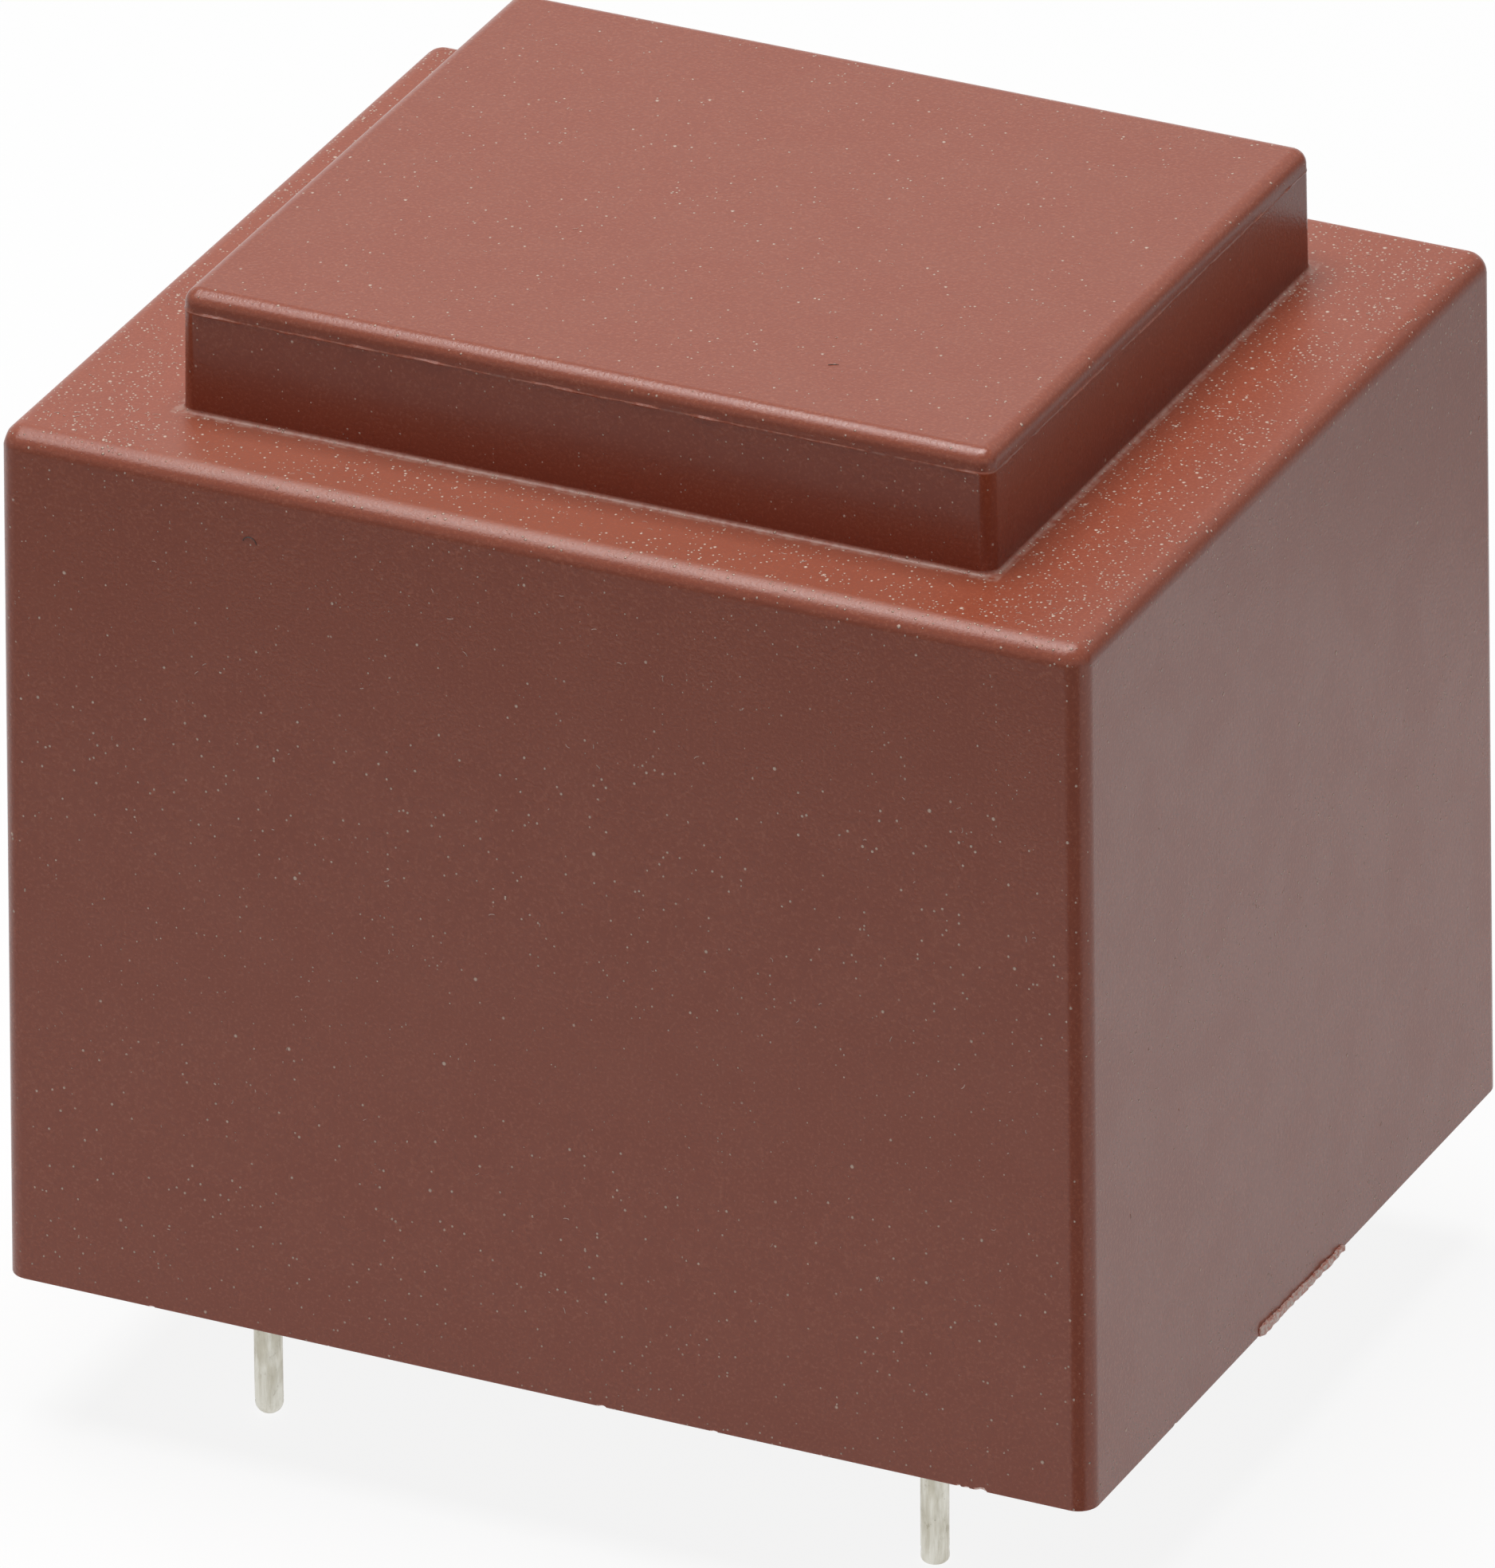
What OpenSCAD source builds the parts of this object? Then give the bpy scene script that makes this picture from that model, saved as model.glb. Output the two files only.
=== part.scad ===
// Encapsulated mains transformer for printed circuit boards.
// The origin is the centre of the case's footprint on the board; the pins reach below it.
// The front row (-Y) holds the primary pins, the rear row (+Y) the secondary pins.

/* [Core] */
// Width of the laminations
core_w = 30; // [29:0.5:31]
// Width of an outer leg and of a yoke
leg_w = 5; // [4.5:0.1:5.2]
// Width of the centre leg
centre_leg_w = 10; // [9:0.5:10.5]
// Length of the two windows
window_len = 15; // [14.5:0.1:16]
// Number of sheets in the stack
sheet_count = 36; // [28:1:44]
// Height that each sheet takes in the stack
sheet_pitch = 0.5; // [0.4:0.05:0.6]
// Varnish gap between sheets
varnish = 0.03; // [0.02:0.01:0.06]

/* [Bobbin] */
// Clearance between the centre leg and the bobbin's tube
tube_clear = 0.15; // [0.1:0.05:0.3]
// Wall of the tube
tube_t = 0.8; // [0.6:0.1:1]
// Corner radius on the outside of the tube
tube_r = 0.5; // [0.3:0.1:0.7]
// Thickness of the two end flanges
flange_t = 0.8; // [0.6:0.1:1]
// Thickness of the wall between the two chambers
divider_t = 1; // [0.8:0.1:1.4]
// Clearance between the flanges and the outer legs
flange_clear = 0.15; // [0.1:0.05:0.3]
// Clearance between the bobbin's ends and the yokes
yoke_clear = 0.15; // [0.1:0.05:0.3]
// How far the flanges stand above the taped coil, over and under the core
flange_lip = 0.15; // [0.05:0.05:0.3]
// Corner radius of the flanges
flange_r = 1.2; // [0.8:0.1:1.6]
// Inside length of the primary chamber
primary_len = 6.3; // [5.5:0.1:7]
// Height of the pin rails' underside above the board face
rail_foot = 2.2; // [2:0.05:2.6]
// Clearance between the rails and the core above them
rail_clear = 0.15; // [0.1:0.05:0.3]
// How far a rail runs past its last pin
rail_end = 3.3; // [2.5:0.1:3.6]
// Setback of a rail's outer face from the core's end
rail_setback = 0.2; // [0.1:0.1:0.6]
// Corner radius of the rails
rail_r = 0.6; // [0.4:0.1:1]
// Thickness of the ribs between flange and rail
rib_t = 0.8; // [0.6:0.1:1]
// How far the ribs reach out from the flange
rib_reach = 1.3; // [1:0.1:1.5]
// Distance of the outer ribs from the primary's leads, towards the centre
rib_offset = 2; // [1.8:0.1:2.2]

/* [Windings] */
// Gap between the taped coil and the outer legs
coil_clear = 0.5; // [0.3:0.05:0.8]
// Corner radius of the windings
winding_r = 2; // [1.5:0.1:2.5]
// Thickness of the insulating tape
tape_t = 0.15; // [0.05:0.05:0.2]
// Diameter of the primary's lead-out wire
primary_wire_d = 0.25; // [0.2:0.05:0.4]
// Diameter of the secondary's lead-out wire
secondary_wire_d = 0.4; // [0.2:0.05:0.5]
// Distance of a lead's exit slot from its pin
lead_offset = 2; // [1.8:0.1:2.2]
// Least distance of a lead's exit from the winding's side
exit_inset = 1.35; // [1.2:0.05:1.6]
// Drop of the leads below the rail's underside
lead_drop = 0.6; // [0.5:0.05:0.7]
// Width of the lead slots in the flanges
slot_w = 0.9; // [0.7:0.1:1.1]

/* [Pins] */
// Distance between the two rows of pins
row_pitch = 20; // [19:0.5:20.5]
// Pitch of the pin positions along a row
pin_grid = 5; // [4.5:0.1:5]
// Diameter of a pin
pin_d = 0.8; // [0.6:0.05:1]
// Length of a pin below the board face
pin_len = 4.55; // [3:0.05:6]
// Rounding at the domed tip
domed_tip_r = 0.36; // [0.1:0.02:0.36]
// Rounding at the flatter tips
blunt_tip_r = 0.16; // [0.1:0.02:0.24]
// Width of the flattened root that is pressed into the rail
root_w = 0.9; // [0.7:0.05:1]
// Thickness of the flattened root
root_t = 0.6; // [0.5:0.05:0.7]
// Depth of rail left above the root
root_cover = 0.35; // [0.2:0.05:0.6]
// Radius of the soldered wire turns
joint_r = 0.72; // [0.68:0.02:0.8]
// Height of the soldered wire turns
joint_h = 1.3; // [1.1:0.05:1.4]
// Number of wire turns on a root
joint_turns = 3; // [2:1:4]

/* [Case] */
// Wall of the case at its rim
wall = 0.85; // [0.7:0.05:1.2]
// Thickness of the roofs over core and coil
roof_t = 1; // [0.8:0.1:1.4]
// Gap between core and side walls, at the rim
side_gap = 0.35; // [0.25:0.05:0.6]
// Gap between core and end walls, at the rim
end_gap = 0.15; // [0.14:0.01:0.4]
// Taper of the outside, per side, over the height of the walls
wall_draft = 0.24; // [0.1:0.02:0.3]
// Taper of the inside, per side
cavity_draft = 0.12; // [0:0.02:0.12]
// Radius of the upright edges
edge_r = 0.62; // [0.6:0.02:1]
// Radius of the rim round the ledge
rim_r = 0.57; // [0.3:0.01:0.59]
// Corner radius of the cavity
cavity_r = 0.3; // [0.2:0.05:0.6]
// Height of the ledge's underside above the core
core_headroom = 1.4; // [1:0.1:2]
// Gap between the flanges and the roof of the plateau
coil_headroom = 0.35; // [0.1:0.05:0.5]
// Height of the bobbin above the board face
coil_foot = 0.55; // [0.5:0.05:0.9]
// Wall of the plateau
cap_wall = 1; // [0.8:0.1:1.3]
// Gap between the coil and the plateau's side walls
cap_side_gap = 1.05; // [0.5:0.05:1.2]
// Gap between the coil and the plateau's end walls
cap_end_gap = 1.9; // [1.2:0.1:2]
// Taper of the plateau, per side
cap_draft = 0.05; // [0:0.01:0.1]
// Radius of the plateau's upright edges
cap_edge_r = 0.44; // [0.44:0.02:0.8]
// Radius of the plateau's top rim
cap_rim_r = 0.42; // [0.3:0.01:0.43]
// Fillet at the plateau's foot
foot_r = 0.14; // [0.1:0.02:0.4]
// Depth of the mould line below the plateau's top
seam_drop = 0.64; // [0.54:0.02:1.2]
// Height of the mould line's ridge
seam_h = 0.04; // [0.02:0.01:0.06]
// Width of the mould line's ridge
seam_w = 0.1; // [0.06:0.02:0.16]
// Length of the broken-off gate on the right side's lower edge
gate_len = 5.5; // [3:0.5:8]
// Height of the gate's remnant
gate_h = 0.32; // [0.2:0.02:0.5]
// How far the gate's remnant stands out
gate_proud = 0.12; // [0.05:0.01:0.2]
// Distance of the gate's middle behind the case's centre
gate_y = 0.2; // [-3:0.1:3]

/* [Resin] */
// Depth of the resin's surface inside the rim
resin_recess = 0.3; // [0.2:0.05:0.4]

/* [Hidden] */
$fn = 48;

// Facets in a quarter turn of the lofted case's edges
corner_steps = 6;
rim_steps = 6;
foot_steps = 3;
// Smallest corner radius that a lofted level keeps
least_r = 0.02;
// How far a cutter runs past the face it cuts
past = 1;

core_d = window_len + 2 * leg_w;
window_w = (core_w - centre_leg_w) / 2 - leg_w;
stack_h = sheet_count * sheet_pitch;
winding_build = window_w - tube_clear - tube_t - tape_t - coil_clear;
flange_over = window_w - coil_clear + flange_lip;
stack_z = coil_foot + flange_over;
coil_z = stack_z + stack_h / 2;

tube_inside = [centre_leg_w + 2 * tube_clear, stack_h + 2 * tube_clear];
tube_outside = [tube_inside.x + 2 * tube_t, tube_inside.y + 2 * tube_t];
flange = [centre_leg_w + 2 * (window_w - flange_clear), stack_h + 2 * flange_over];
bobbin_len = window_len - 2 * yoke_clear;
flange_in = bobbin_len / 2 - flange_t;
divider_y = primary_len - flange_in;
rail_top = stack_z - rail_clear;
rail_t = rail_top - rail_foot;
rail_out = core_d / 2 - rail_setback;

winding = [tube_outside.x + 2 * winding_build, tube_outside.y + 2 * winding_build];
taped = [winding.x + 2 * tape_t, winding.y + 2 * tape_t];
lead_z = rail_foot - lead_drop;
exit_limit = winding.x / 2 - exit_inset;

row_y = row_pitch / 2;
pin_1 = [-2 * pin_grid, -row_y];
pin_5 = [2 * pin_grid, -row_y];
pin_7 = [pin_grid, row_y];
pin_9 = [-pin_grid, row_y];
last_pin_x = 2 * pin_grid;
rib_x = exit_x(pin_1) - rib_offset;

case_half = [core_w / 2 + side_gap + wall, core_d / 2 + end_gap + wall];
cavity_half = [core_w / 2 + side_gap, core_d / 2 + end_gap];
cap_cavity_half = [flange.x / 2 + cap_side_gap, bobbin_len / 2 + cap_end_gap];
cap_half = [cap_cavity_half.x + cap_wall, cap_cavity_half.y + cap_wall];
ledge_h = stack_z + stack_h + core_headroom + roof_t;
total_h = coil_z + flange.y / 2 + coil_headroom + roof_t;
cap_h = total_h - ledge_h;
seam_z = total_h - seam_drop;

// ---------- shapes used by several parts ----------

// A rectangle with round corners, centred
module rounded_rect(size, r) {
    square([size.x - 2 * r, size.y], center = true);
    square([size.x, size.y - 2 * r], center = true);
    for (x = [-1, 1], y = [-1, 1])
        translate([x * (size.x / 2 - r), y * (size.y / 2 - r)])
            circle(r);
}

// Extrudes an outline along Y, with the outline's origin on the coil's axis
module along_coil(from, to) {
    translate([0, to, coil_z])
        rotate([90, 0, 0])
            linear_extrude(to - from)
                children();
}

// Mirrors what is drawn in the +X +Y quarter into the quarter of a pin
module in_quarter_of(pin) {
    mirror([pin.x < 0 ? 1 : 0, 0, 0])
        mirror([0, pin.y < 0 ? 1 : 0, 0])
            children();
}

// Points of one round corner, counter-clockwise
function corner(x, y, r, start) = [
    for (s = [0:corner_steps])
        let (a = start + 90 * s / corner_steps)
            [x + r * cos(a), y + r * sin(a)]
];

// Points of a round-cornered rectangle
function outline(half, r) = let (x = half.x - r, y = half.y - r) concat(
    corner(x, y, r, 0), corner(-x, y, r, 90), corner(-x, -y, r, 180), corner(x, -y, r, 270)
);

// One level of a loft: height, half sizes and corner radius, all moved in by an inset
function level(z, half, r, inset = 0) =
    [z, [half.x - inset, half.y - inset], max(r - inset, least_r)];

// Skins the levels, from the lowest to the highest
module loft(levels) {
    n = 4 * (corner_steps + 1);
    last = len(levels) - 1;
    points = [for (l = levels) for (p = outline(l[1], l[2])) [p.x, p.y, l[0]]];
    sides = [
        for (k = [0:last - 1], i = [0:n - 1])
            let (j = (i + 1) % n)
                [k * n + i, (k + 1) * n + i, (k + 1) * n + j, k * n + j]
    ];
    foot = [for (i = [0:n - 1]) i];
    top = [for (i = [n - 1:-1:0]) last * n + i];
    polyhedron(points, concat([foot], sides, [top]), convexity = 6);
}

// ---------- case and resin ----------

function cap_half_at(z) = let (grow = cap_draft * (total_h - z) / cap_h)
    [cap_half.x + grow, cap_half.y + grow];

// Straight drafted walls that end in the round rim of the ledge
function wall_levels() = concat([level(0, case_half, edge_r)], [
    for (s = [0:rim_steps])
        let (a = 90 * s / rim_steps)
            let (half = [case_half.x - wall_draft, case_half.y - wall_draft])
                level(ledge_h - rim_r * (1 - sin(a)), half, edge_r, rim_r * (1 - cos(a)))
]);

// Fillet at the plateau's foot, from the ledge up to the plateau's wall
function foot_levels() = [
    for (s = [0:foot_steps])
        let (a = 90 * s / foot_steps, z = ledge_h + foot_r * (1 - cos(a)))
            level(z, cap_half_at(z), cap_edge_r, -foot_r * (1 - sin(a)))
];

// Mould line round the plateau
function seam_levels() = [
    for (s = [-1:1])
        let (z = seam_z + s * seam_w / 2)
            level(z, cap_half_at(z), cap_edge_r, s == 0 ? -seam_h : 0)
];

// Round rim of the plateau
function cap_rim_levels() = [
    for (s = [0:rim_steps])
        let (a = 90 * s / rim_steps)
            level(total_h - cap_rim_r * (1 - sin(a)), cap_half, cap_edge_r, cap_rim_r * (1 - cos(a)))
];

// The stepped space inside the case, from the resin's surface up to its roofs
function cavity_levels() = let (shelf_z = ledge_h - roof_t) [
    level(resin_recess, cavity_half, cavity_r),
    level(shelf_z, cavity_half, cavity_r, cavity_draft),
    level(shelf_z, cap_cavity_half, cavity_r),
    level(total_h - roof_t, cap_cavity_half, cavity_r)
];

// What is left of the film gate, with its upper edge broken away at a slope
module gate_remnant() {
    translate([case_half.x, gate_y + gate_len / 2, 0])
        rotate([90, 0, 0])
            linear_extrude(gate_len)
                polygon([
                    [-wall / 2, 0],
                    [gate_proud / 2, 0],
                    [gate_proud, gate_h / 4],
                    [gate_proud, gate_h * 0.6],
                    [-wall / 2, gate_h]
                ]);
}

module casing() {
    color([0.48, 0.29, 0.26])
        difference() {
            union() {
                loft(concat(wall_levels(), foot_levels(), seam_levels(), cap_rim_levels()));
                gate_remnant();
            }
            loft(concat([level(-past, cavity_half, cavity_r)], cavity_levels()));
        }
}

// The resin fills the case round the core, the bobbin, the closed coil and the pins' roots
module potting_compound() {
    color([0.16, 0.13, 0.12])
        difference() {
            loft(cavity_levels());
            core_block();
            bobbin();
            coil_block();
            for (pin = [pin_1, pin_5, pin_7, pin_9])
                in_quarter_of(pin) {
                    pin_root(pin);
                    lead_run(pin);
                    joint_body(pin);
                }
        }
}

// ---------- core ----------

// The space that the whole stack takes
module core_block() {
    translate([0, 0, stack_z])
        linear_extrude(stack_h)
            difference() {
                square([core_w, core_d], center = true);
                windows();
            }
}

module windows() {
    for (side = [-1, 1])
        translate([side * (centre_leg_w + window_w) / 2, 0])
            square([window_w, window_len], center = true);
}

module e_outline() {
    difference() {
        translate([-core_w / 2, -core_d / 2])
            square([core_w, core_d - leg_w]);
        windows();
    }
}

module i_outline() {
    translate([-core_w / 2, core_d / 2 - leg_w])
        square([core_w, leg_w]);
}

// A stack of equal sheets, each turned half round from the one below it
module sheets() {
    for (i = [0:sheet_count - 1])
        translate([0, 0, stack_z + i * sheet_pitch])
            rotate(180 * (i % 2))
                linear_extrude(sheet_pitch - varnish)
                    children();
}

module e_laminations() {
    color([0.55, 0.56, 0.58])
        sheets()
            e_outline();
}

module i_laminations() {
    color([0.62, 0.63, 0.65])
        sheets()
            i_outline();
}

// ---------- bobbin ----------

module bobbin() {
    color([0.85, 0.82, 0.74])
        difference() {
            union() {
                along_coil(-bobbin_len / 2, bobbin_len / 2)
                    rounded_rect(tube_outside, tube_r);
                for (from = [-bobbin_len / 2, bobbin_len / 2 - flange_t])
                    along_coil(from, from + flange_t)
                        rounded_rect(flange, flange_r);
                along_coil(divider_y, divider_y + divider_t)
                    rounded_rect(flange, flange_r);
                for (row = [0, 1])
                    mirror([0, row, 0])
                        pin_rail();
            }
            along_coil(-bobbin_len, bobbin_len)
                square(tube_inside, center = true);
            for (x = [-2:2], row = [-1, 1])
                translate([x * pin_grid, row * row_y, rail_foot - past])
                    root_section(rail_t - root_cover + past);
            for (pin = [pin_1, pin_5, pin_7, pin_9])
                in_quarter_of(pin)
                    lead_slot(pin);
        }
}

// The rail under a yoke, joined to its flange and stiffened by three ribs
module pin_rail() {
    inner_y = bobbin_len / 2 - flange_t;
    difference() {
        translate([0, 0, rail_foot])
            linear_extrude(rail_t)
                rounded_rect([2 * (last_pin_x + rail_end), 2 * rail_out], rail_r);
        translate([-core_w / 2, -core_d, rail_foot - past])
            cube([core_w, core_d + inner_y, rail_t + 2 * past]);
    }
    for (x = [-rib_x, 0, rib_x])
        translate([x - rib_t / 2, inner_y, 0])
            rotate([90, 0, 90])
                linear_extrude(rib_t)
                    polygon([
                        [0, coil_foot + flange_r / 2],
                        [flange_t, coil_foot + flange_r / 2],
                        [flange_t + rib_reach, rail_foot],
                        [flange_t + rib_reach, rail_foot + rib_t],
                        [0, rail_foot + rib_t]
                    ]);
}

// Slot in a flange's lower edge, with a round end at the lead's height
module lead_slot(pin) {
    translate([exit_x(pin), flange_in, lead_z])
        rotate([-90, 0, 0])
            linear_extrude(flange_t + yoke_clear) {
                circle(d = slot_w);
                translate([-slot_w / 2, 0])
                    square([slot_w, lead_z]);
            }
}

// ---------- windings ----------

module winding_ring(from, to, inside, inside_r, outside, outside_r) {
    along_coil(from, to)
        difference() {
            rounded_rect(outside, outside_r);
            rounded_rect(inside, inside_r);
        }
}

// The closed coil that the resin flows round: tube and taped windings, up to the flanges
module coil_block() {
    reach = flange_in + flange_t / 2;
    along_coil(-reach, reach)
        rounded_rect(taped, winding_r + tape_t);
}

module primary_winding() {
    color([0.72, 0.4, 0.2])
        winding_ring(-flange_in, divider_y, tube_outside, tube_r, winding, winding_r);
}

module secondary_winding() {
    color([0.78, 0.46, 0.24])
        winding_ring(divider_y + divider_t, flange_in, tube_outside, tube_r, winding, winding_r);
}

module primary_tape() {
    color([0.9, 0.8, 0.35])
        winding_ring(-flange_in, divider_y, winding, winding_r, taped, winding_r + tape_t);
}

module secondary_tape() {
    color([0.9, 0.8, 0.35])
        winding_ring(divider_y + divider_t, flange_in, winding, winding_r, taped, winding_r + tape_t);
}

// ---------- leads, joints and pins ----------

function wire_d(pin) = pin.y < 0 ? primary_wire_d : secondary_wire_d;

// Where a lead leaves its winding, measured from the middle
function exit_x(pin) = min(abs(pin.x) - lead_offset, exit_limit);

// From the winding's end through the flange slot, along the rail and across to the pin
module lead_run(pin) {
    r = wire_d(pin) / 2;
    x = exit_x(pin);
    translate([x, flange_in, lead_z])
        rotate([-90, 0, 0])
            cylinder(r = r, h = row_y - flange_in);
    translate([x, row_y, lead_z])
        sphere(r);
    translate([x, row_y, lead_z])
        rotate([0, 90, 0])
            cylinder(r = r, h = abs(pin.x) - x - root_w / 2);
}

module lead(pin) {
    color([0.8, 0.48, 0.25])
        in_quarter_of(pin)
            lead_run(pin);
}

module primary_lead_1() {
    lead(pin_1);
}

module primary_lead_5() {
    lead(pin_5);
}

module secondary_lead_7() {
    lead(pin_7);
}

module secondary_lead_9() {
    lead(pin_9);
}

// Wire turns drowned in solder: a revolved profile with one swell for each turn
module joint_body(pin) {
    turn_h = joint_h / joint_turns;
    translate([abs(pin.x), abs(pin.y), rail_foot - joint_h])
        rotate_extrude()
            intersection() {
                union() {
                    square([joint_r, joint_h]);
                    for (i = [0:joint_turns - 1])
                        translate([joint_r, (i + 0.5) * turn_h])
                            circle(turn_h / 2);
                }
                square([joint_r + turn_h, joint_h]);
            }
}

module joint(pin) {
    color([0.75, 0.76, 0.78])
        in_quarter_of(pin)
            difference() {
                joint_body(pin);
                pin_root(pin);
                lead_run(pin);
            }
}

module primary_joint_1() {
    joint(pin_1);
}

module primary_joint_5() {
    joint(pin_5);
}

module secondary_joint_7() {
    joint(pin_7);
}

module secondary_joint_9() {
    joint(pin_9);
}

// Flattened section of a pin's root, drawn upwards on the pin's axis
module root_section(h) {
    translate([-root_w / 2, -root_t / 2, 0])
        cube([root_w, root_t, h]);
}

module pin_root(pin) {
    translate([abs(pin.x), abs(pin.y), resin_recess])
        root_section(rail_top - root_cover - resin_recess);
}

// A round pin with its root; the round part starts at the resin's surface
module pin(pin, tip_r) {
    r = pin_d / 2;
    length = pin_len + resin_recess;
    color([0.78, 0.77, 0.73])
        in_quarter_of(pin) {
            pin_root(pin);
            translate([abs(pin.x), abs(pin.y), -pin_len])
                rotate_extrude() {
                    square([r - tip_r, length]);
                    translate([0, tip_r])
                        square([r, length - tip_r]);
                    translate([r - tip_r, tip_r])
                        intersection() {
                            circle(tip_r);
                            translate([0, -tip_r])
                                square(2 * tip_r);
                        }
                }
        }
}

module primary_pin_1() {
    pin(pin_1, domed_tip_r);
}

module primary_pin_5() {
    pin(pin_5, blunt_tip_r);
}

module secondary_pin_7() {
    pin(pin_7, blunt_tip_r);
}

module secondary_pin_9() {
    pin(pin_9, blunt_tip_r);
}

casing();
potting_compound();
e_laminations();
i_laminations();
bobbin();
primary_winding();
secondary_winding();
primary_tape();
secondary_tape();
primary_lead_1();
primary_lead_5();
secondary_lead_7();
secondary_lead_9();
primary_joint_1();
primary_joint_5();
secondary_joint_7();
secondary_joint_9();
primary_pin_1();
primary_pin_5();
secondary_pin_7();
secondary_pin_9();
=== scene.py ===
import bpy
import bmesh
import math
import random
from mathutils import Matrix, Vector, noise


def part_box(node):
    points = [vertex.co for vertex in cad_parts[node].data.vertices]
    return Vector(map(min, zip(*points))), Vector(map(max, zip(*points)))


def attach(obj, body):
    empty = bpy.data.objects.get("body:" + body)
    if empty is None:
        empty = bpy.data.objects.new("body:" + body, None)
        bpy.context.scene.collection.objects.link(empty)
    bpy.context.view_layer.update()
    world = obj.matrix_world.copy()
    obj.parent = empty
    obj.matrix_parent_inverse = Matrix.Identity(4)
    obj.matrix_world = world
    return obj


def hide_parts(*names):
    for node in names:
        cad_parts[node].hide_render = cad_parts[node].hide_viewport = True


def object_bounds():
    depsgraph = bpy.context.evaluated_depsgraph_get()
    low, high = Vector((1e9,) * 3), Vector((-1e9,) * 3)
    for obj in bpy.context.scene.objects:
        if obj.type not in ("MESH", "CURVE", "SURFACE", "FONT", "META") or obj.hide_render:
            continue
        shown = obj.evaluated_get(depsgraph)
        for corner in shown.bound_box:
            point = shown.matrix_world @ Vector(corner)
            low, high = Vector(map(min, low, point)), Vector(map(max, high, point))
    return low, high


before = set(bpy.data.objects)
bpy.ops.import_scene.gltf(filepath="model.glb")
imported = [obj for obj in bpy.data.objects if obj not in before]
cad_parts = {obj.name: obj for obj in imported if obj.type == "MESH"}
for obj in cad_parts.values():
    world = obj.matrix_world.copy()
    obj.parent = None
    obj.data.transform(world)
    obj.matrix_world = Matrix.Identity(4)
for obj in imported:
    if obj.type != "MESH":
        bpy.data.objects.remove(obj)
cadLow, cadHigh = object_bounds()
scene = bpy.context.scene
scene.view_settings.view_transform = "Standard"
random.seed(7)
mm = 0.001
closeTo = 1e-4                           # mm within which two heights are one
print("frame loaded:", len(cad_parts), "nodes")


# Node helpers. Every pattern reads object coordinates, scaled so that one unit is a millimetre.

def newMaterial(name):
    material = bpy.data.materials.new(name)
    material.use_nodes = True
    material.node_tree.nodes.clear()
    output = material.node_tree.nodes.new("ShaderNodeOutputMaterial")
    surface = material.node_tree.nodes.new("ShaderNodeBsdfPrincipled")
    link(material, surface.outputs["BSDF"], output.inputs["Surface"])
    return material, surface


def link(material, source, target):
    material.node_tree.links.new(source, target)


def millimetres(material, stretch=(1, 1, 1), turn=(0, 0, 0), shift=(0, 0, 0)):
    coords = material.node_tree.nodes.new("ShaderNodeTexCoord")
    mapping = material.node_tree.nodes.new("ShaderNodeMapping")
    mapping.inputs["Scale"].default_value = [s / mm for s in stretch]
    mapping.inputs["Rotation"].default_value = turn
    mapping.inputs["Location"].default_value = shift
    link(material, coords.outputs["Object"], mapping.inputs["Vector"])
    return mapping.outputs["Vector"]


def noiseTexture(material, vector, scale, detail, roughness=0.55, distortion=0.0):
    texture = material.node_tree.nodes.new("ShaderNodeTexNoise")
    texture.inputs["Scale"].default_value = scale
    texture.inputs["Detail"].default_value = detail
    texture.inputs["Roughness"].default_value = roughness
    texture.inputs["Distortion"].default_value = distortion
    link(material, vector, texture.inputs["Vector"])
    return texture.outputs["Fac"]


def ramp(material, value, fromLow, fromHigh, toLow=0.0, toHigh=1.0):
    node = material.node_tree.nodes.new("ShaderNodeMapRange")
    node.interpolation_type = "SMOOTHSTEP"
    link(material, value, node.inputs["Value"])
    limits = {"From Min": fromLow, "From Max": fromHigh, "To Min": toLow, "To Max": toHigh}
    for socket, number in limits.items():
        node.inputs[socket].default_value = number
    return node.outputs["Result"]


def maths(material, operation, first, second=None, third=None):
    node = material.node_tree.nodes.new("ShaderNodeMath")
    node.operation = operation
    for socket, value in zip(node.inputs, (first, second, third)):
        if value is None:
            continue
        if isinstance(value, (int, float)):
            socket.default_value = value
        else:
            link(material, value, socket)
    return node.outputs["Value"]


def mixColours(material, factor, first, second):
    node = material.node_tree.nodes.new("ShaderNodeMix")
    node.data_type = "RGBA"
    for socket, value in ((node.inputs[0], factor), (node.inputs[6], first), (node.inputs[7], second)):
        if isinstance(value, (int, float)):
            socket.default_value = value
        elif isinstance(value, tuple):
            socket.default_value = (*value, 1)
        else:
            link(material, value, socket)
    return node.outputs[2]


def bump(material, height, strength, distance, under=None):
    node = material.node_tree.nodes.new("ShaderNodeBump")
    node.inputs["Strength"].default_value = strength
    node.inputs["Distance"].default_value = distance * mm
    link(material, height, node.inputs["Height"])
    if under is not None:
        link(material, under, node.inputs["Normal"])
    return node.outputs["Normal"]


def dress(material, surface, colour, roughness, normal):
    # Gives the surface its three patterns.
    for name, value in (("Base Color", colour), ("Roughness", roughness), ("Normal", normal)):
        link(material, value, surface.inputs[name])
    return material


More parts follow.
